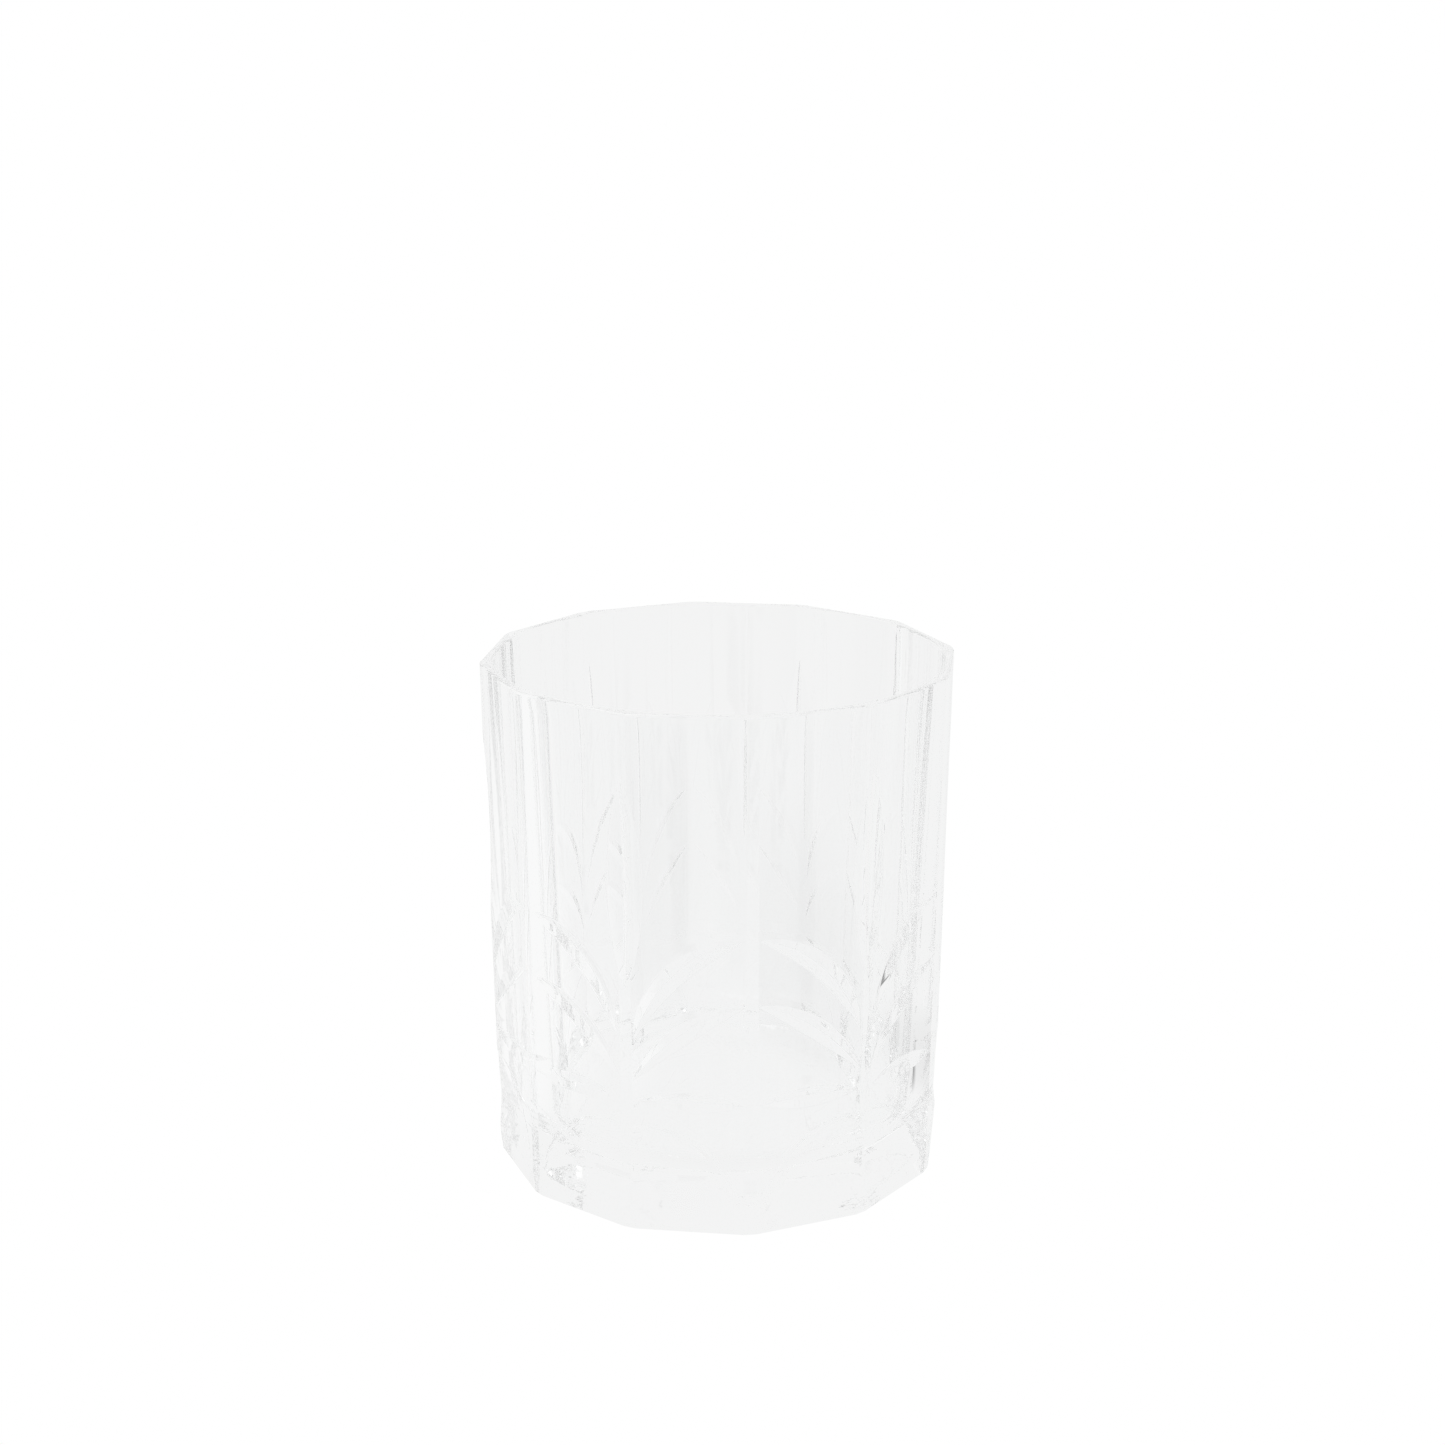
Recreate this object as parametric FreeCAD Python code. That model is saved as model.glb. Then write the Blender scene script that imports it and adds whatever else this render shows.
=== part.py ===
"""Whiskey tumbler: one piece of pressed clear glass, with twelve flat sides outside,
a round bowl inside and a repeated pattern of leaf cuts on the outer wall.

Frame: millimetres, +Z up, origin at the centre of the base.
Column 0, one of the twelve upright corners, faces -Y.
"""
import FreeCAD
import Part
import math
import os

from FreeCAD import Vector

# Driving dimensions, mm
HEIGHT = 96.4
SIDES = 12
BASE_RADIUS = 42.4          # centre of a corner flat, if the taper ran down to the base
RIM_RADIUS = 44.0           # centre of a corner flat, at the rim
BASE_FLAT = 2.4             # width of the narrow flat on each corner
RIM_FLAT = 2.0
FOOT_EDGE_HEIGHT = 4.2      # the lowest part of the wall leans in a little
FOOT_EDGE_INSET = 0.35
RIM_ROUND = 0.55            # radius of the lip's rounding, inside and outside
RIM_BANDS = 3               # flat bands that make up the rounding on the outside

BOWL_RIM_RADIUS = 41.4
BOWL_LOW_RADIUS = 37.6      # where the bowl's wall meets the corner round above the floor
BOWL_FLOOR_HEIGHT = 9.0
BOWL_CORNER_ROUND = 8.0
BOWL_CUTTER_RISE = 2.0      # how far the bowl's cutter stands out of the rim

# Leaf cuts: V-grooves that are deepest in the middle and run out at both tips.
# Places are (across, up) on a facet, across = 0 in its middle, + towards a stem column.
CUT_LIFT = 0.4              # how far a leaf's cutter stands out of the glass
CUT_SECTIONS = 7
UPPER_ARCH = ((9.6, 37.2), (1.2, 50.6), (-9.9, 56.3))
UPPER_ARCH_HALF_WIDTH = 2.0
UPPER_ARCH_DEPTH = 0.85
LOWER_ARCH = ((10.0, 29.2), (-0.3, 39.3), (-9.9, 44.1))
LOWER_ARCH_HALF_WIDTH = 1.8
LOWER_ARCH_DEPTH = 0.8
WAIST_LENS = ((9.4, 25.4), (-9.8, 25.4))
LENS_HALF_WIDTH = 1.9
LENS_DEPTH = 0.7
FOOT_ARCH = ((10.0, 20.6), (-1.1, 17.2), (-8.9, 6.3))
FOOT_ARCH_HALF_WIDTH = 0.9
FOOT_ARCH_DEPTH = 0.4

# Short nicks at the feet of the foot arches and of the arch columns
FOOT_NICK = ((-9.2, 6.1), (-7.4, 6.1))
COLUMN_NICK = ((-1.1, 6.1), (1.1, 6.1))
NICK_HALF_WIDTH = 0.35
NICK_DEPTH = 0.35

# The tall leaf on each stem column, and the fine groove along its valley
STEM_LEAF = (83.5, 47.0)    # heights of its tips
STEM_LEAF_HALF_WIDTH = 6.5
STEM_LEAF_DEPTH = 1.25
STEM_GROOVE = (86.0, 45.5)
STEM_GROOVE_HALF_WIDTH = 1.4
STEM_GROOVE_DEPTH = 1.75
GROOVE_LIFT = 0.3           # how far the groove's cutter stands out of the glass

# Dished panel under each foot arch
PANEL_TOP_HEIGHT = 26.0
PANEL_DEEPEST_HEIGHT = 10.5
PANEL_LOW_HEIGHT = 4.6
PANEL_DEPTH = 0.8
PANEL_CLEARANCE = 3.0       # how far the panel's cutter stands out of the glass
PANEL_OVERLAP = 1.0         # how far it runs past the middle of a stem column
PANEL_MARGIN = 0.2          # the panel stops this far inside the foot arch's own line

STEP = 360.0 / SIDES
HALF_STEP = math.radians(STEP / 2)
QUARTER_TURN = math.pi / 2
Z_AXIS = Vector(0, 0, 1)
ORIGIN = Vector(0, 0, 0)


def corner_radius(z):
    """Radius to the centre of a corner flat at height z."""
    return BASE_RADIUS + (RIM_RADIUS - BASE_RADIUS) * z / HEIGHT


def flat_width(z):
    """Width of a corner flat at height z."""
    return BASE_FLAT + (RIM_FLAT - BASE_FLAT) * z / HEIGHT


def facet_distance(z):
    """Distance from the axis to a facet at height z."""
    sharp_corner = corner_radius(z) + flat_width(z) / 2 * math.tan(HALF_STEP)
    return sharp_corner * math.cos(HALF_STEP)


def azimuth(column):
    """Direction of a column, in radians; it may be a fraction, such as 0.5 for a facet's middle."""
    return math.radians(-90 + STEP * column)


def surface_point(column, across, z, out, distance):
    """A point beside a vertical plane that faces the given column direction."""
    angle = azimuth(column)
    normal = Vector(math.cos(angle), math.sin(angle), 0)
    tangent = Vector(-math.sin(angle), math.cos(angle), 0)
    return normal * (distance + out) + tangent * across + Z_AXIS * z


def section(z, inset):
    """Corners of the 24-sided outline at height z."""
    points = []
    for column in range(SIDES):
        for side in (-1, 1):
            across = side * flat_width(z) / 2
            points.append(surface_point(column, across, z, -inset, corner_radius(z)))
    return points


def face_from(points):
    return Part.Face(Part.makePolygon(points + points[:1]))


def outer_block():
    """Solid twelve-sided block with a narrow flat on every corner and a rounded upper edge."""
    rings = [
        section(0, FOOT_EDGE_INSET),
        section(FOOT_EDGE_HEIGHT, 0),
    ]
    for i in range(RIM_BANDS + 1):
        turn = QUARTER_TURN * i / RIM_BANDS
        z = HEIGHT - RIM_ROUND * (1 - math.sin(turn))
        rings.append(section(z, RIM_ROUND * (1 - math.cos(turn))))
    faces = [face_from(rings[0]), face_from(rings[-1])]
    count = len(rings[0])
    for lower, upper in zip(rings, rings[1:]):
        for i in range(count):
            j = (i + 1) % count
            faces.append(face_from([lower[i], lower[j], upper[j], upper[i]]))
    return Part.Solid(Part.Shell(faces))


def bowl():
    """The round inside, drawn as half a section and turned about the axis."""
    slope = (BOWL_RIM_RADIUS - BOWL_LOW_RADIUS) / (HEIGHT - BOWL_FLOOR_HEIGHT - BOWL_CORNER_ROUND)
    lean = math.atan(slope)
    # Corner round: tangent to the leaning wall and to the floor
    centre_r = BOWL_LOW_RADIUS - BOWL_CORNER_ROUND / math.cos(lean)
    centre_z = BOWL_FLOOR_HEIGHT + BOWL_CORNER_ROUND

    def floor_round(below_level):
        return Vector(centre_r + BOWL_CORNER_ROUND * math.cos(below_level), 0,
                      centre_z - BOWL_CORNER_ROUND * math.sin(below_level))

    def lip_round(turn):
        return Vector(BOWL_RIM_RADIUS + RIM_ROUND * (1 - math.cos(turn)), 0,
                      HEIGHT - RIM_ROUND * (1 - math.sin(turn)))
    top_radius = BOWL_RIM_RADIUS + RIM_ROUND
    top = HEIGHT + BOWL_CUTTER_RISE
    floor_centre = Vector(0, 0, BOWL_FLOOR_HEIGHT)
    top_edge = Vector(top_radius, 0, top)
    top_centre = Vector(0, 0, top)
    floor_edge, wall_end = floor_round(QUARTER_TURN), floor_round(lean)
    lip_low, lip_top = lip_round(0), lip_round(QUARTER_TURN)
    wire = Part.Wire([
        Part.makeLine(floor_centre, floor_edge),
        Part.Arc(floor_edge, floor_round((lean + QUARTER_TURN) / 2), wall_end).toShape(),
        Part.makeLine(wall_end, lip_low),
        Part.Arc(lip_low, lip_round(QUARTER_TURN / 2), lip_top).toShape(),
        Part.makeLine(lip_top, top_edge),
        Part.makeLine(top_edge, top_centre),
        Part.makeLine(top_centre, floor_centre),
    ])
    return Part.Face(wire).revolve(ORIGIN, Z_AXIS, 360)


def arc_through(start, middle, end):
    """A circle through three flat places, as its point and direction at t from -1 to 1."""
    arc = Part.Arc(Vector(*start, 0), Vector(*middle, 0), Vector(*end, 0))
    first, last = arc.FirstParameter, arc.LastParameter

    def at(t):
        parameter = first + (last - first) * (t + 1) / 2
        return arc.value(parameter), arc.tangent(parameter)[0]
    return at


def line_through(start, end):
    """The same for a straight line."""
    a, b = Vector(*start, 0), Vector(*end, 0)

    def at(t):
        return a + (b - a) * (t + 1) / 2, (b - a).normalize()
    return at


def leaf_cutter(path, half_width, depth, place, lift=CUT_LIFT):
    """V-shaped cutter along a path; place(across, up, out) puts a point beside the glass."""
    reach = math.sqrt(1 + lift / depth)

    def tip(t):
        point = path(t)[0]
        return Part.Vertex(place(point.x, point.y, lift))
    profiles = [tip(-reach)]
    for i in range(1, CUT_SECTIONS + 1):
        t = reach * (2.0 * i / (CUT_SECTIONS + 1) - 1)
        point, direction = path(t)
        sideways = Vector(-direction.y, direction.x, 0)
        cut = depth * (1 - t * t)
        wide = half_width / depth * (cut + lift)
        left = point + sideways * wide
        right = point - sideways * wide
        corners = [
            place(left.x, left.y, lift),
            place(point.x, point.y, -cut),
            place(right.x, right.y, lift),
        ]
        profiles.append(Part.makePolygon(corners + corners[:1]))
    profiles.append(tip(reach))
    return Part.makeLoft(profiles, True, False)


def on_facet(across, up, out):
    """A place on the facet between columns 0 and 1; column 1 is a stem column."""
    return surface_point(0.5, across, up, out, facet_distance(up))


def on_arch_column(across, up, out):
    """A place on the narrow flat of column 0."""
    return surface_point(0, across, up, out, corner_radius(up))


def on_stem_column(across, up, out):
    """A place on the narrow flat of column 1."""
    return surface_point(1, across, up, out, corner_radius(up))


def panel_cutter():
    """Half of the dished panel under a foot arch, on the facet between columns 0 and 1."""
    inside = [(across + PANEL_MARGIN, up - PANEL_MARGIN) for across, up in FOOT_ARCH]
    (top_across, top_up), middle, (foot_across, foot_up) = inside
    low, deepest, high = PANEL_LOW_HEIGHT, PANEL_DEEPEST_HEIGHT, PANEL_TOP_HEIGHT
    beyond = facet_distance(low) * math.tan(HALF_STEP) + PANEL_OVERLAP

    def upright(across, up):
        return surface_point(0.5, across, up, PANEL_CLEARANCE, facet_distance(low))
    foot_corner = upright(foot_across, low)
    outer_foot = upright(beyond, low)
    outer_top = upright(beyond, top_up)
    arch_top = upright(top_across, top_up)
    arch_foot = upright(foot_across, foot_up)
    outline = Part.Wire([
        Part.Arc(arch_top, upright(*middle), arch_foot).toShape(),
        Part.makeLine(arch_foot, foot_corner),
        Part.makeLine(foot_corner, outer_foot),
        Part.makeLine(outer_foot, outer_top),
        Part.makeLine(outer_top, arch_top),
    ])
    outward = surface_point(0.5, 0, 0, 0, 1)
    prism = Part.Face(outline).extrude(outward * (-2 * PANEL_CLEARANCE))

    # Everything outside two planes that lean in and meet where the panel is deepest
    def beside(up, out):
        return surface_point(0.5, -beyond, up, out, facet_distance(up))
    wedge_side = [
        beside(low, 0),
        beside(deepest, -PANEL_DEPTH),
        beside(high, 0),
        beside(high, 2 * PANEL_CLEARANCE),
        beside(low, 2 * PANEL_CLEARANCE),
    ]
    along = surface_point(0.5, 2 * beyond + PANEL_OVERLAP, 0, 0, 0)
    wedge = face_from(wedge_side).extrude(along)
    return prism.common(wedge)


def placed_all_round(facet_cutters, column_cutters):
    """Mirror what lies on a facet, then repeat everything at every second column."""
    cutters = []
    for turn in range(SIDES // 2):
        angle = 2 * STEP * turn
        pattern = [shape.copy() for shape in facet_cutters + column_cutters]
        pattern += [shape.mirror(ORIGIN, Vector(1, 0, 0)) for shape in facet_cutters]
        for shape in pattern:
            shape.rotate(ORIGIN, Z_AXIS, angle)
            cutters.append(shape)
    return cutters


def upright_line(heights):
    top, bottom = heights
    return line_through((0, top), (0, bottom))


def cut_pattern():
    """Cutters for the whole pattern."""
    on_facets = [
        leaf_cutter(arc_through(*UPPER_ARCH), UPPER_ARCH_HALF_WIDTH, UPPER_ARCH_DEPTH, on_facet),
        leaf_cutter(arc_through(*LOWER_ARCH), LOWER_ARCH_HALF_WIDTH, LOWER_ARCH_DEPTH, on_facet),
        leaf_cutter(line_through(*WAIST_LENS), LENS_HALF_WIDTH, LENS_DEPTH, on_facet),
        leaf_cutter(arc_through(*FOOT_ARCH), FOOT_ARCH_HALF_WIDTH, FOOT_ARCH_DEPTH, on_facet),
        leaf_cutter(line_through(*FOOT_NICK), NICK_HALF_WIDTH, NICK_DEPTH, on_facet),
        panel_cutter(),
    ]
    on_columns = [
        leaf_cutter(line_through(*COLUMN_NICK), NICK_HALF_WIDTH, NICK_DEPTH, on_arch_column),
        leaf_cutter(upright_line(STEM_LEAF), STEM_LEAF_HALF_WIDTH, STEM_LEAF_DEPTH, on_stem_column),
        leaf_cutter(upright_line(STEM_GROOVE), STEM_GROOVE_HALF_WIDTH, STEM_GROOVE_DEPTH,
                    on_stem_column, GROOVE_LIFT),
    ]
    return placed_all_round(on_facets, on_columns)


def tumbler():
    """The one piece of glass."""
    return outer_block().cut(bowl()).cut(cut_pattern()).Solids[0]


def main():
    os.makedirs("parts", exist_ok=True)
    glass = tumbler()
    print("valid", glass.isValid(), "volume", round(glass.Volume), "faces", len(glass.Faces))
    glass.exportStep("parts/tumbler_glass.step")


main()
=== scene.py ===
"""A clear pressed-glass whiskey tumbler on a white studio floor.

The glass is one watertight mesh. Its outer wall is a radius worked out for every direction and
height: twelve flat facets, a narrow flat on each corner, and V-shaped leaf cuts with soft lips.
One facet's half pattern is meshed, then mirrored and turned round the axis.
"""
import math

import bpy
import numpy as np
from mathutils import Euler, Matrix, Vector
from mathutils.geometry import delaunay_2d_cdt


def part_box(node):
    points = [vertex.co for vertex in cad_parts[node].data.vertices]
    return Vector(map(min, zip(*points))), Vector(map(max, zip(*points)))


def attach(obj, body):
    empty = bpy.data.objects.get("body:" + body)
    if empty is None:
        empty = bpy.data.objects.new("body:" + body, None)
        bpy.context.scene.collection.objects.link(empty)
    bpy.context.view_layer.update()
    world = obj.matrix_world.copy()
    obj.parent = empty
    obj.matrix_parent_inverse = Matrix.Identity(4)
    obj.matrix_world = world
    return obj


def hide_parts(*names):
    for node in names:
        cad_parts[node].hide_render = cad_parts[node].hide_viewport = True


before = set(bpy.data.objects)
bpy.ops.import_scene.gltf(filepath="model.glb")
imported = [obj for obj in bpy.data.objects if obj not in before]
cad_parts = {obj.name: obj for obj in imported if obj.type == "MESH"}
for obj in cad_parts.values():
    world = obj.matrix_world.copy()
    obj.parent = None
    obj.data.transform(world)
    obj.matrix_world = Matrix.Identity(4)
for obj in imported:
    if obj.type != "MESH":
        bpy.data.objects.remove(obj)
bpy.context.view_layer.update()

MM = 0.001
NODE = "tumbler_glass"
NODE_LOW, NODE_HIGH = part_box(NODE)

# Sizes in millimetres; the overall ones come from the tumbler_glass part's box in model.glb
HEIGHT = (NODE_HIGH.z - NODE_LOW.z) / MM
RIM_RADIUS = round(NODE_HIGH.x / MM, 1)
TAPER = 1.6
BASE_RADIUS = RIM_RADIUS - TAPER
SIDES = 12
SECTOR = math.radians(360 / SIDES)
RIM_FLAT = 2.0
BASE_FLAT = 2.4
FOOT_EDGE_HEIGHT = 4.2
FOOT_EDGE_INSET = 0.35
FOOT_EDGE_CURVE = 1.5
FOOT_ROUND = 0.25
RIM_ROUND = 0.55
CORNER_SOFTNESS = 0.035
LIP_SOFTNESS = 0.07
VALLEY_SOFTNESS = 0.06

BOWL_RIM_RADIUS = 41.4
BOWL_LOW_RADIUS = 37.6
BOWL_FLOOR_HEIGHT = 9.0
BOWL_CORNER_ROUND = 8.0

# Leaf cuts on a facet as (across, up): across is 0 in the facet's middle, + towards a stem column
UPPER_ARCH = ((9.6, 37.2), (1.2, 50.6), (-9.9, 56.3))
LOWER_ARCH = ((10.0, 29.2), (-0.3, 39.3), (-9.9, 44.1))
WAIST_LENS = ((9.4, 25.4), (-9.8, 25.4))
FOOT_ARCH = ((10.0, 20.6), (-1.1, 17.2), (-8.9, 6.3))
# Short nicks at the feet of the foot arches and of the arch columns
FOOT_NICK = ((-9.2, 6.1), (-7.4, 6.1))
COLUMN_NICK = ((-1.1, 6.1), (1.1, 6.1))
# The tall leaf on a stem column, and the fine groove along its valley
STEM_LEAF = ((0, 83.5), (0, 47.0))
STEM_GROOVE = ((0, 86.0), (0, 45.5))
GROOVE_EDGE = 0.47          # half width of the groove where it breaks out of the tall leaf
# The dished panel under the foot arch
PANEL_TOP_HEIGHT = 26.0
PANEL_DEEPEST_HEIGHT = 10.5
PANEL_LOW_HEIGHT = 4.6
PANEL_DEPTH = 0.8
PANEL_COLUMN_SHARE = 0.52
PANEL_WALL_SLOPE = 0.35
PANEL_RIDGE_SOFTNESS = 0.3
PANEL_WALL_SOFTNESS = 0.15
PANEL_EDGE_SOFTNESS = 0.1

# How finely the wall and the turned surfaces are divided
LIP_GUIDES = (-0.22, -0.07, 0.07, 0.22)
VALLEY_GUIDES = (-0.3, -0.1, 0.0, 0.1, 0.3)
CORNER_GUIDES = (-0.3, -0.12, 0.0, 0.12, 0.3)
FOOT_GUIDES = (0.9, 1.6, 2.6, 3.6, 4.2, 4.8, 5.6, 6.8, 7.6, 8.6, 9.6, 10.5, 11.4, 12.4, 13.6)
GUIDE_POINTS_PER_MM = 2
FEWEST_GUIDE_POINTS = 9
CORNER_GUIDE_POINTS = 70
LEVEL_GUIDE_POINTS = 24
BORDER_ROWS = 60
BORDER_COLUMNS = 20
FILLING_STEP = 1.4
FILLING_CLEARANCE = 0.6
WELD_STEPS_PER_MM = 2e3
NORMAL_STEP = 0.004
EDGE_STEPS = 6
BOWL_WALL_STEPS = 24
BOWL_CORNER_STEPS = 16


def soft_min(a, b, softness):
    """The lower of two surfaces, with their meeting line rounded."""
    near = np.maximum(softness - np.abs(a - b), 0) / softness
    return np.minimum(a, b) - near * near * softness / 4


def corner_radius(z):
    return BASE_RADIUS + (RIM_RADIUS - BASE_RADIUS) * z / HEIGHT


def flat_width(z):
    return BASE_FLAT + (RIM_FLAT - BASE_FLAT) * z / HEIGHT


def facet_distance(z):
    sharp = corner_radius(z) + flat_width(z) / 2 * math.tan(SECTOR / 2)
    return sharp * math.cos(SECTOR / 2)


class Leaf:
    """A V-shaped cut along an arc or a line, deepest in its middle and running out at both tips."""

    def __init__(self, points, half_width, depth, seat="facet"):
        self.half_width, self.depth, self.seat = half_width, depth, seat
        self.ends = np.array(points[0], float), np.array(points[-1], float)
        self.centre = None
        if len(points) == 3:
            self.set_circle(np.array(points, float))

    def set_circle(self, p):
        """Centre, radius and angles of the circle through three points."""
        rows = 2 * (p[1:] - p[0])
        self.centre = np.linalg.solve(rows, (p[1:] ** 2).sum(1) - (p[0] ** 2).sum())
        arms = p - self.centre
        self.radius = np.hypot(*arms[0])
        angles = np.unwrap(np.arctan2(arms[:, 1], arms[:, 0]))
        self.middle = (angles[0] + angles[2]) / 2
        self.half_angle = (angles[2] - angles[0]) / 2

    def locate(self, across, up):
        """Distance along the cut, -1 to 1 between its tips, and distance to its side."""
        if self.centre is not None:
            x, y = across - self.centre[0], up - self.centre[1]
            angle = np.arctan2(y, x) - self.middle
            angle = (angle + math.pi) % (2 * math.pi) - math.pi
            return angle / self.half_angle, np.hypot(x, y) - self.radius
        start, end = self.ends
        along = (end - start) / 2
        half = np.hypot(*along)
        x, y = across - (start + along)[0], up - (start + along)[1]
        t = (x * along[0] + y * along[1]) / half ** 2
        return t, (x * along[1] - y * along[0]) / half

    def point(self, t, side):
        """The flat place at distance t along and side across."""
        if self.centre is not None:
            angle = self.middle + self.half_angle * t
            reach = self.radius + side
            return self.centre + np.array([np.cos(angle), np.sin(angle)]) * reach
        start, end = self.ends
        along = (end - start) / 2
        normal = np.array([along[1], -along[0]]) / np.hypot(*along)
        return start + along * (1 + t) + normal * side

    def cut_depth(self, across, up):
        """Depth below the glass's surface; negative beyond the cut's edges."""
        t, side = self.locate(across, up)
        slope = self.depth / self.half_width
        rounded = np.sqrt(side ** 2 + VALLEY_SOFTNESS ** 2)
        return self.depth * (1 - np.minimum(t ** 2, 4)) - slope * rounded


# Each cut: its line, half width, depth and seat
FOOT_LEAF = Leaf(FOOT_ARCH, 0.9, 0.4)
TALL_LEAF = Leaf(STEM_LEAF, 6.5, 1.25, "stem column")
FINE_GROOVE = Leaf(STEM_GROOVE, 1.4, 1.75, "stem column")
LEAVES = [
    Leaf(UPPER_ARCH, 2.0, 0.85),
    Leaf(LOWER_ARCH, 1.8, 0.8),
    Leaf(WAIST_LENS, 1.9, 0.7),
    FOOT_LEAF,
    Leaf(FOOT_NICK, 0.35, 0.35),
    Leaf(COLUMN_NICK, 0.35, 0.35, "arch column"),
    TALL_LEAF,
    FINE_GROOVE,
]


def panel_depth(across, up):
    """Depth of the dished panel that lies under the foot arch."""
    upper = PANEL_DEPTH * (PANEL_TOP_HEIGHT - up) / (PANEL_TOP_HEIGHT - PANEL_DEEPEST_HEIGHT)
    lower = PANEL_DEPTH * (up - PANEL_LOW_HEIGHT) / (PANEL_DEEPEST_HEIGHT - PANEL_LOW_HEIGHT)
    inside = -FOOT_LEAF.locate(across, up)[1] * PANEL_WALL_SLOPE
    depth = soft_min(soft_min(upper, lower, PANEL_RIDGE_SOFTNESS), inside, PANEL_WALL_SOFTNESS)
    return -soft_min(-depth, np.zeros_like(depth), PANEL_EDGE_SOFTNESS)


def plain_radius(angle, z, foot, panel):
    """The block without its leaves: two corner flats and the facet between them."""
    corner = corner_radius(z) - foot - panel * PANEL_COLUMN_SHARE
    facet = facet_distance(z) - foot - panel
    left = corner / np.cos(angle)
    middle = facet / np.cos(angle - SECTOR / 2)
    right = corner / np.cos(angle - SECTOR)
    return soft_min(soft_min(left, middle, CORNER_SOFTNESS), right, CORNER_SOFTNESS)


def seat_of(leaf, z):
    """Direction of the plane that a leaf is drawn on, and its distance from the axis."""
    if leaf.seat == "facet":
        return SECTOR / 2, facet_distance(z)
    return (SECTOR if leaf.seat == "stem column" else 0.0), corner_radius(z)


def outer_radius(angle, z):
    """Radius of the outer wall; angle runs from an arch column, 0, to a stem column."""
    from_middle = angle - SECTOR / 2
    across = facet_distance(z) * np.tan(from_middle)
    foot = FOOT_EDGE_INSET * np.clip(1 - z / FOOT_EDGE_HEIGHT, 0, 1) ** FOOT_EDGE_CURVE
    radius = plain_radius(angle, z, foot, panel_depth(across, z))
    for leaf in LEAVES:
        middle, surface = seat_of(leaf, z)
        turn = angle - middle
        depth = leaf.cut_depth(surface * np.tan(turn), z)
        radius = soft_min(radius, (surface - depth) / np.cos(turn), LIP_SOFTNESS)
    return radius


def outer_normals(angle, z):
    """Outward normals of the outer wall, as (radial, round, up)."""
    turn = NORMAL_STEP / RIM_RADIUS
    radius = outer_radius(angle, z)
    by_angle = (outer_radius(angle + turn, z) - outer_radius(angle - turn, z)) / (2 * turn)
    above, below = outer_radius(angle, z + NORMAL_STEP), outer_radius(angle, z - NORMAL_STEP)
    by_height = (above - below) / (2 * NORMAL_STEP)
    normals = np.stack([np.ones_like(radius), -by_angle / radius, -by_height], axis=1)
    return radius, normals / np.linalg.norm(normals, axis=1)[:, None]


# The flat sheet that is meshed: x is the angle in millimetres at the rim's radius, y is the height
SHEET_WIDTH = SECTOR * RIM_RADIUS
SHEET_LOW = FOOT_ROUND
SHEET_HIGH = HEIGHT - RIM_ROUND


def on_sheet(leaf, places):
    """Places (across, up) on a leaf's own plane as sheet places."""
    middle, surface = seat_of(leaf, places[:, 1])
    return np.stack([(middle + np.arctan(places[:, 0] / surface)) * RIM_RADIUS, places[:, 1]], axis=1)


def half_width_along(leaf, ts):
    """Half width of a cut along its length, where it breaks the surface around it."""
    wide = leaf.half_width * (1 - ts ** 2)
    if leaf is FINE_GROOVE:
        return np.minimum(wide, GROOVE_EDGE)
    if leaf is TALL_LEAF:
        slope = leaf.depth / leaf.half_width
        half_flat = (RIM_FLAT + BASE_FLAT) / 4
        fall = math.tan(SECTOR / 2)
        return np.minimum(wide, (wide * slope + half_flat * fall) / (slope + fall))
    return wide


def guide_lines():
    """Lines that the triangles follow: along every cut and beside every corner flat."""
    lines = []
    for leaf in LEAVES:
        length = np.hypot(*(leaf.ends[1] - leaf.ends[0]))
        count = max(FEWEST_GUIDE_POINTS, int(length * GUIDE_POINTS_PER_MM))
        for lip in LIP_GUIDES:
            reach = math.sqrt(max(1 + lip / leaf.half_width, 0.2))
            ts = np.sin(np.linspace(-1, 1, count) * math.pi / 2) * reach
            wide = half_width_along(leaf, ts) + lip
            for side in (-1, 1):
                places = np.array([leaf.point(t, side * w) for t, w in zip(ts, wide)])
                lines.append(on_sheet(leaf, places))
        for side in VALLEY_GUIDES:
            if abs(side) < leaf.half_width:
                ts = np.linspace(-1, 1, count)
                places = np.array([leaf.point(t, side) for t in ts])
                lines.append(on_sheet(leaf, places))
    heights = np.linspace(SHEET_LOW, SHEET_HIGH, CORNER_GUIDE_POINTS)
    for edge in (-1, 1):
        for offset in CORNER_GUIDES:
            across = edge * (facet_distance(heights) * math.tan(SECTOR / 2)
                             - flat_width(heights) / 2 / math.cos(SECTOR / 2) + offset)
            lines.append(on_sheet(FOOT_LEAF, np.stack([across, heights], axis=1)))
    for height in FOOT_GUIDES:
        xs = np.linspace(0, SHEET_WIDTH, LEVEL_GUIDE_POINTS)
        lines.append(np.stack([xs, np.full_like(xs, height)], axis=1))
    return lines


def clipped(line):
    """The stretches of a line that lie inside the sheet."""
    inside = ((line[:, 0] > 0.02) & (line[:, 0] < SHEET_WIDTH - 0.02)
              & (line[:, 1] > SHEET_LOW - 1e-6) & (line[:, 1] < SHEET_HIGH + 1e-6))
    stretches, run = [], []
    for place, keep in zip(line, inside):
        if keep:
            run.append(place)
        elif run:
            stretches.append(run)
            run = []
    if run:
        stretches.append(run)
    return [s for s in stretches if len(s) > 1]


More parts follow.
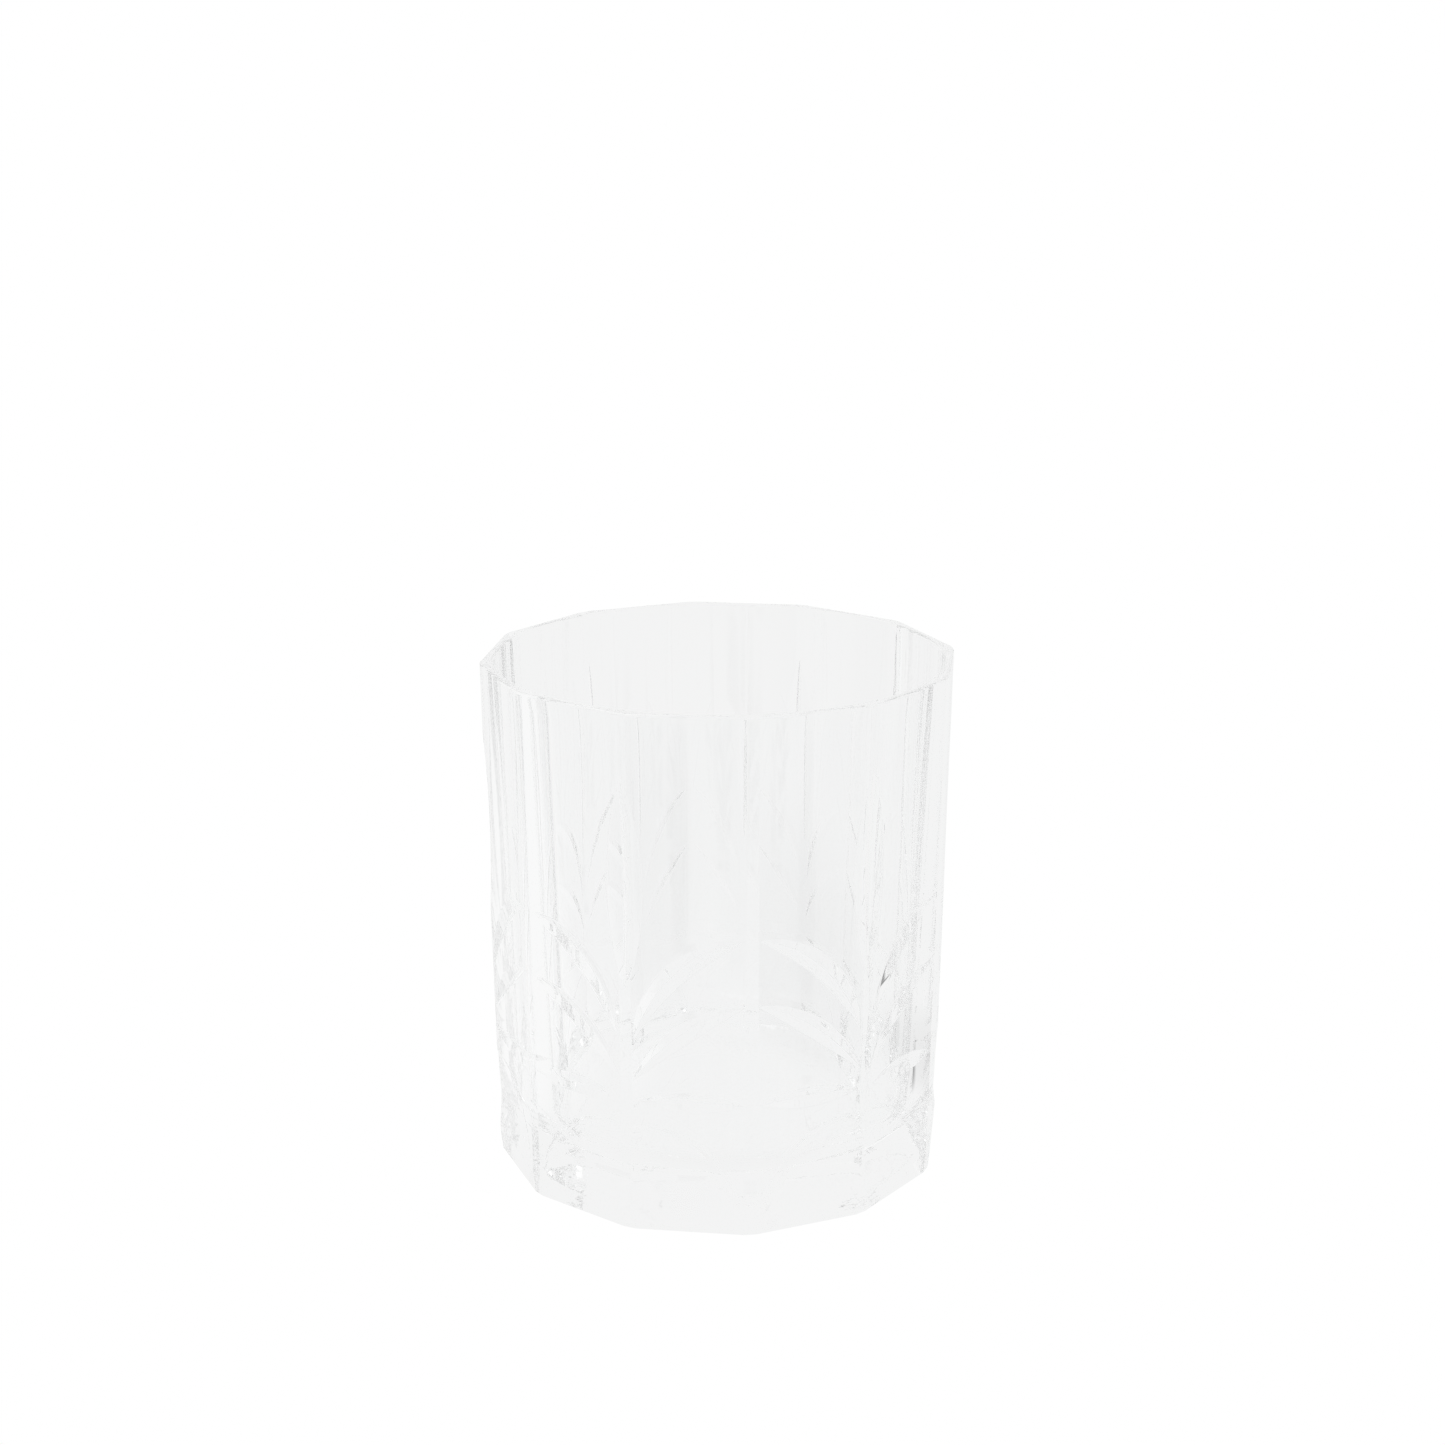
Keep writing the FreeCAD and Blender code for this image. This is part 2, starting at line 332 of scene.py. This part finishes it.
def sheet_mesh():
    """Triangles over the sheet, which follow the guide lines."""
    points, edges = [], []

    def add_chain(chain, closed=False):
        first = len(points)
        points.extend(Vector(p) for p in chain)
        edges.extend((i, i + 1) for i in range(first, len(points) - 1))
        if closed:
            edges.append((len(points) - 1, first))

    rows = np.linspace(SHEET_LOW, SHEET_HIGH, BORDER_ROWS)
    columns = np.linspace(0, SHEET_WIDTH, BORDER_COLUMNS)
    border = [(x, SHEET_LOW) for x in columns[:-1]] + [(SHEET_WIDTH, y) for y in rows[:-1]]
    border += [(x, SHEET_HIGH) for x in columns[:0:-1]] + [(0, y) for y in rows[:0:-1]]
    add_chain(border, closed=True)
    for line in guide_lines():
        for stretch in clipped(line):
            add_chain(stretch)
    taken = np.array(points)
    for y in np.arange(SHEET_LOW + 1.2, SHEET_HIGH - 0.6, FILLING_STEP):
        for x in np.arange(1.0, SHEET_WIDTH - 0.5, FILLING_STEP):
            if np.hypot(taken[:, 0] - x, taken[:, 1] - y).min() > FILLING_CLEARANCE:
                points.append(Vector((x, y)))
    places, _, faces, _, _, _ = delaunay_2d_cdt(points, edges, [], 1, 1e-4)
    return np.array([tuple(p) for p in places]), [tuple(f) for f in faces]


class Shell:
    """Collects vertices, with their normals, and faces; places that coincide become one vertex."""

    def __init__(self):
        self.places, self.normals, self.faces, self.known = [], [], [], {}

    def add(self, places, normals):
        """Adds points and returns their numbers."""
        numbers = []
        for place, normal in zip(places, normals):
            key = tuple(int(round(c * WELD_STEPS_PER_MM)) for c in place)
            if key not in self.known:
                self.known[key] = len(self.places)
                self.places.append(place)
                self.normals.append(normal)
            numbers.append(self.known[key])
        return np.array(numbers)

    def add_face(self, corners):
        corners = [c for i, c in enumerate(corners) if c != corners[i - 1]]
        if len(corners) > 2:
            self.faces.append(corners)

    def bridge(self, lower, upper):
        """Quads between two closed rings; they face away from the axis when upper is above."""
        count = len(lower)
        for i in range(count):
            j = (i + 1) % count
            self.add_face([lower[i], lower[j], upper[j], upper[i]])


def in_space(angle, radius, z, normals):
    """Points and normals in space from the wall's own directions; angle 0 is towards -Y."""
    out = np.stack([np.sin(angle), -np.cos(angle), np.zeros_like(angle)], axis=1)
    round_ = np.stack([np.cos(angle), np.sin(angle), np.zeros_like(angle)], axis=1)
    places = out * radius[:, None]
    places[:, 2] = z
    turned = out * normals[:, :1] + round_ * normals[:, 1:2]
    turned[:, 2] += normals[:, 2]
    return places, turned


def ring(shell, angles, radius, z, radial, up):
    """One closed ring whose normals lean up or down."""
    normals = np.zeros((len(angles), 3))
    normals[:, 0], normals[:, 2] = radial, up
    places, turned = in_space(angles, np.full_like(angles, radius), np.full_like(angles, z), normals)
    return shell.add(places, turned)


def add_outer_wall(shell):
    """The wall all round; returns the sorted angles of its top row and of its bottom row."""
    places, faces = sheet_mesh()
    angle, z = places[:, 0] / RIM_RADIUS, places[:, 1]
    radius, normals = outer_normals(angle, z)
    for copy in range(SIDES):
        turned_over = copy % 2 == 1
        base = SECTOR * copy
        around = base + (SECTOR - angle if turned_over else angle)
        facing = normals * (1, -1 if turned_over else 1, 1)
        numbers = shell.add(*in_space(around, radius, z, facing))
        for face in faces:
            corners = numbers[list(face)]
            shell.add_face(list(corners[::-1] if turned_over else corners))
    rows = []
    for height in (SHEET_HIGH, SHEET_LOW):
        row = np.sort(angle[np.abs(z - height) < 1e-3])
        both = np.concatenate([row, 2 * SECTOR - row[::-1]])
        rows.append(np.unique(np.round(np.concatenate(
            [both + 2 * SECTOR * i for i in range(SIDES // 2)]), 7) % round(2 * math.pi, 7)))
    return rows


def folded(angles):
    """Directions all round as directions from an arch column to a stem column."""
    turn = np.mod(angles, 2 * SECTOR)
    return np.where(turn > SECTOR, 2 * SECTOR - turn, turn), np.where(turn > SECTOR, -1.0, 1.0)


def rounded_edge(shell, angles, height, size, upwards):
    """Rings that turn the wall's edge over; upwards is 1 for the rim and -1 for the foot."""
    inner, side = folded(angles)
    radius, normals = outer_normals(inner, np.full_like(angles, height))
    normals[:, 1] *= side
    rings = []
    for i in range(EDGE_STEPS + 1):
        turn = math.pi / 2 * i / EDGE_STEPS
        tilted = normals * math.cos(turn)
        tilted[:, 2] += upwards * math.sin(turn)
        z = height + upwards * size * math.sin(turn)
        places, facing = in_space(angles, radius - size * (1 - math.cos(turn)),
                                  np.full_like(angles, z), tilted)
        rings.append(shell.add(places, facing))
    return rings


def add_rim_and_bowl(shell, angles):
    """The rim's rounded lip, then the bowl down to the middle of its floor."""
    rings = rounded_edge(shell, angles, SHEET_HIGH, RIM_ROUND, 1)
    wall_height = HEIGHT - BOWL_FLOOR_HEIGHT - BOWL_CORNER_ROUND
    lean = math.atan((BOWL_RIM_RADIUS - BOWL_LOW_RADIUS) / wall_height)
    for i in range(EDGE_STEPS + 1):
        turn = math.pi / 2 * (1 - i / EDGE_STEPS)
        rings.append(ring(shell, angles, BOWL_RIM_RADIUS + RIM_ROUND * (1 - math.cos(turn)),
                          SHEET_HIGH + RIM_ROUND * math.sin(turn), -math.cos(turn), math.sin(turn)))
    centre_z = BOWL_FLOOR_HEIGHT + BOWL_CORNER_ROUND
    centre_r = BOWL_LOW_RADIUS - BOWL_CORNER_ROUND / math.cos(lean)
    low_z = centre_z - BOWL_CORNER_ROUND * math.sin(lean)
    low_r = centre_r + BOWL_CORNER_ROUND * math.cos(lean)
    for share in np.linspace(0, 1, BOWL_WALL_STEPS + 1)[1:-1]:
        z = SHEET_HIGH + (low_z - SHEET_HIGH) * share
        radius = BOWL_RIM_RADIUS + (low_r - BOWL_RIM_RADIUS) * share
        rings.append(ring(shell, angles, radius, z, -math.cos(lean), math.sin(lean)))
    for turn in np.linspace(lean, math.pi / 2, BOWL_CORNER_STEPS + 1):
        rings.append(ring(shell, angles, centre_r + BOWL_CORNER_ROUND * math.cos(turn),
                          centre_z - BOWL_CORNER_ROUND * math.sin(turn),
                          -math.cos(turn), math.sin(turn)))
    for share in (0.75, 0.5, 0.25, 0.08):
        rings.append(ring(shell, angles, centre_r * share, BOWL_FLOOR_HEIGHT, 0, 1))
    for outer, inner in zip(rings, rings[1:]):
        shell.bridge(outer, inner)
    close(shell, rings[-1], BOWL_FLOOR_HEIGHT, 1)


def add_underside(shell, angles):
    """The foot's rounded edge and the flat face that the glass stands on."""
    rings = rounded_edge(shell, angles, SHEET_LOW, FOOT_ROUND, -1)
    for share in (0.9, 0.7, 0.5, 0.3, 0.08):
        rings.append(ring(shell, angles, BASE_RADIUS * share, 0.0, 0, -1))
    for outer, inner in zip(rings, rings[1:]):
        shell.bridge(inner, outer)
    close(shell, rings[-1], 0.0, -1)


def close(shell, last, z, up):
    """A fan to the axis."""
    middle = shell.add([np.array([0, 0, z])], [np.array([0, 0, up])])[0]
    for i in range(len(last)):
        j = (i + 1) % len(last)
        corners = [last[i], last[j], middle]
        shell.add_face(corners if up > 0 else corners[::-1])


def make_tumbler():
    shell = Shell()
    top, bottom = add_outer_wall(shell)
    add_rim_and_bowl(shell, top)
    add_underside(shell, bottom)
    mesh = bpy.data.meshes.new("tumbler")
    faces = [tuple(map(int, face)) for face in shell.faces]
    mesh.from_pydata([tuple(p * MM) for p in shell.places], [], faces)
    mesh.polygons.foreach_set("use_smooth", [True] * len(mesh.polygons))
    mesh.normals_split_custom_set_from_vertices([tuple(n) for n in shell.normals])
    mesh.update()
    tumbler = bpy.data.objects.new("tumbler", mesh)
    bpy.context.scene.collection.objects.link(tumbler)
    return tumbler


def glass_material():
    """Clear pressed glass: almost smooth, with the faint ripple that the mould leaves."""
    material = bpy.data.materials.new("pressed_glass")
    material.use_nodes = True
    nodes, links = material.node_tree.nodes, material.node_tree.links
    shader = nodes["Principled BSDF"]
    shader.inputs["Base Color"].default_value = (0.995, 0.997, 0.997, 1)
    shader.inputs["Roughness"].default_value = 0.0
    shader.inputs["IOR"].default_value = 1.5
    shader.inputs["Transmission Weight"].default_value = 1.0
    place = nodes.new("ShaderNodeTexCoord")
    stretch = nodes.new("ShaderNodeMapping")
    stretch.inputs["Scale"].default_value = (1, 1, 0.12)
    links.new(place.outputs["Object"], stretch.inputs["Vector"])
    ripple = nodes.new("ShaderNodeTexNoise")
    ripple.inputs["Scale"].default_value = 260
    ripple.inputs["Detail"].default_value = 2
    links.new(stretch.outputs["Vector"], ripple.inputs["Vector"])
    bump = nodes.new("ShaderNodeBump")
    bump.inputs["Strength"].default_value = 0.5
    bump.inputs["Distance"].default_value = 0.00003
    links.new(ripple.outputs["Fac"], bump.inputs["Height"])
    links.new(bump.outputs["Normal"], shader.inputs["Normal"])
    return material


# The camera's place, from the direction that the photograph was taken in
CAMERA_TURN = math.radians(-7.6)
CAMERA_DISTANCE = 0.4293
CAMERA_SIDE = 0.0006
CAMERA_HEIGHT = 0.2046
CAMERA_PITCH = math.radians(15.777)
CAMERA_LENS = 59.83


def make_camera():
    data = bpy.data.cameras.new("camera")
    data.sensor_width = 36
    data.lens = CAMERA_LENS
    data.clip_start = 0.01
    camera = bpy.data.objects.new("camera", data)
    bpy.context.scene.collection.objects.link(camera)
    turn = Euler((0, 0, CAMERA_TURN)).to_matrix()
    camera.location = turn @ Vector((CAMERA_SIDE, -CAMERA_DISTANCE, CAMERA_HEIGHT))
    camera.rotation_euler = (math.pi / 2 - CAMERA_PITCH, 0, CAMERA_TURN)
    bpy.context.scene.camera = camera


# The studio: an even light grey all round, a little brighter on the left, with a few small dark things.
# Each patch is (azimuth from the camera's view, elevation, half angle, soft edge, level), in degrees
STUDIO_GREY = 0.905
BACKDROP_WHITE = 1.0
# The world lights the scene with these patches; the ones below the horizon are also painted into the
# floor's glow
PATCHES = [
    (-68, -22, 30, 16, 0.955),
    (20, -14, 10, 8, 0.89),
    (180, -20, 34, 14, 0.89),
    (-45, 50, 6, 3, 1.4),
    (60, 45, 5, 3, 1.4),
    (-150, 30, 8, 3, 1.4),
    (125, 15, 6, 3, 1.4),
    (180, 8, 5, 3, 0.3),
    (-160, -12, 5, 3, 0.2),
    (140, -15, 5, 3, 0.2),
    (88, -26, 5, 3, 0.15),
]
LIGHT_BOUNCES = 32          # light goes round inside the rim and the foot many times
LIGHT_CENTRE = 0.04         # height that the floor's patches are seen from
FLOOR_HALF_WIDTH = 4.0
FLOOR_GAP = 0.00005         # keeps the floor's face clear of the glass's base


def direction(azimuth, elevation):
    """Unit vector; azimuth 0 is the way that the camera looks, and grows to its right."""
    turn = math.radians(azimuth) - CAMERA_TURN
    rise = math.radians(elevation)
    return (math.sin(turn) * math.cos(rise), math.cos(turn) * math.cos(rise), math.sin(rise))


def studio_level(nodes, links, towards):
    """Grey level of the studio in the direction that the socket gives."""
    level = STUDIO_GREY
    for azimuth, elevation, half_angle, edge, target in PATCHES:
        dot = nodes.new("ShaderNodeVectorMath")
        dot.operation = "DOT_PRODUCT"
        dot.inputs[1].default_value = direction(azimuth, elevation)
        links.new(towards, dot.inputs[0])
        blend = nodes.new("ShaderNodeMapRange")
        blend.interpolation_type = "SMOOTHSTEP"
        blend.inputs["From Min"].default_value = math.cos(math.radians(half_angle + edge))
        blend.inputs["From Max"].default_value = math.cos(math.radians(half_angle - edge))
        links.new(dot.outputs["Value"], blend.inputs["Value"])
        mixed = nodes.new("ShaderNodeMix")
        links.new(blend.outputs["Result"], mixed.inputs["Factor"])
        mixed.inputs["B"].default_value = target
        if isinstance(level, float):
            mixed.inputs["A"].default_value = level
        else:
            links.new(level, mixed.inputs["A"])
        level = mixed.outputs["Result"]
    seen = nodes.new("ShaderNodeLightPath")
    shown = nodes.new("ShaderNodeMix")
    links.new(seen.outputs["Is Camera Ray"], shown.inputs["Factor"])
    links.new(level, shown.inputs["A"])
    shown.inputs["B"].default_value = BACKDROP_WHITE
    return shown.outputs["Result"]


def make_floor():
    """A floor that glows instead of being lit, so the glass throws no shadow on it. The camera looking
    at it directly sees plain white. Seen through the glass, its glow carries painted light: the
    studio's brighter left side and its dark patches, laid out as seen from just above the floor.
    """
    material = bpy.data.materials.new("glowing_floor_painted_light")
    material.use_nodes = True
    nodes, links = material.node_tree.nodes, material.node_tree.links
    nodes.clear()
    place = nodes.new("ShaderNodeTexCoord")
    lowered = nodes.new("ShaderNodeVectorMath")
    lowered.operation = "SUBTRACT"
    lowered.inputs[1].default_value = (0, 0, LIGHT_CENTRE)
    links.new(place.outputs["Object"], lowered.inputs[0])
    towards = nodes.new("ShaderNodeVectorMath")
    towards.operation = "NORMALIZE"
    links.new(lowered.outputs["Vector"], towards.inputs[0])
    glow = nodes.new("ShaderNodeEmission")
    # Painted light: the floor's glow is the studio's grey with its brighter and dark patches, in place
    # of light falling on the floor
    links.new(studio_level(nodes, links, towards.outputs["Vector"]), glow.inputs["Strength"])
    output = nodes.new("ShaderNodeOutputMaterial")
    links.new(glow.outputs["Emission"], output.inputs["Surface"])
    half = FLOOR_HALF_WIDTH
    low = NODE_LOW.z - FLOOR_GAP
    mesh = bpy.data.meshes.new("floor")
    mesh.from_pydata([(-half, -half, low), (half, -half, low), (half, half, low), (-half, half, low)],
                     [], [(0, 1, 2, 3)])
    mesh.materials.append(material)
    floor = bpy.data.objects.new("floor", mesh)
    bpy.context.scene.collection.objects.link(floor)


def make_light():
    """The studio's light, from every direction."""
    world = bpy.data.worlds.new("studio")
    bpy.context.scene.world = world
    world.use_nodes = True
    nodes, links = world.node_tree.nodes, world.node_tree.links
    place = nodes.new("ShaderNodeTexCoord")
    level = studio_level(nodes, links, place.outputs["Generated"])
    background = nodes["Background"]
    background.inputs["Color"].default_value = (1, 1, 1, 1)
    links.new(level, background.inputs["Strength"])


def main():
    scene = bpy.context.scene
    scene.view_settings.view_transform = "Standard"
    scene.cycles.max_bounces = LIGHT_BOUNCES
    scene.cycles.glossy_bounces = LIGHT_BOUNCES
    scene.cycles.transmission_bounces = LIGHT_BOUNCES
    make_camera()
    make_floor()
    make_light()
    tumbler = make_tumbler()
    tumbler.data.materials.append(glass_material())
    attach(tumbler, "root")
    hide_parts(NODE)


main()
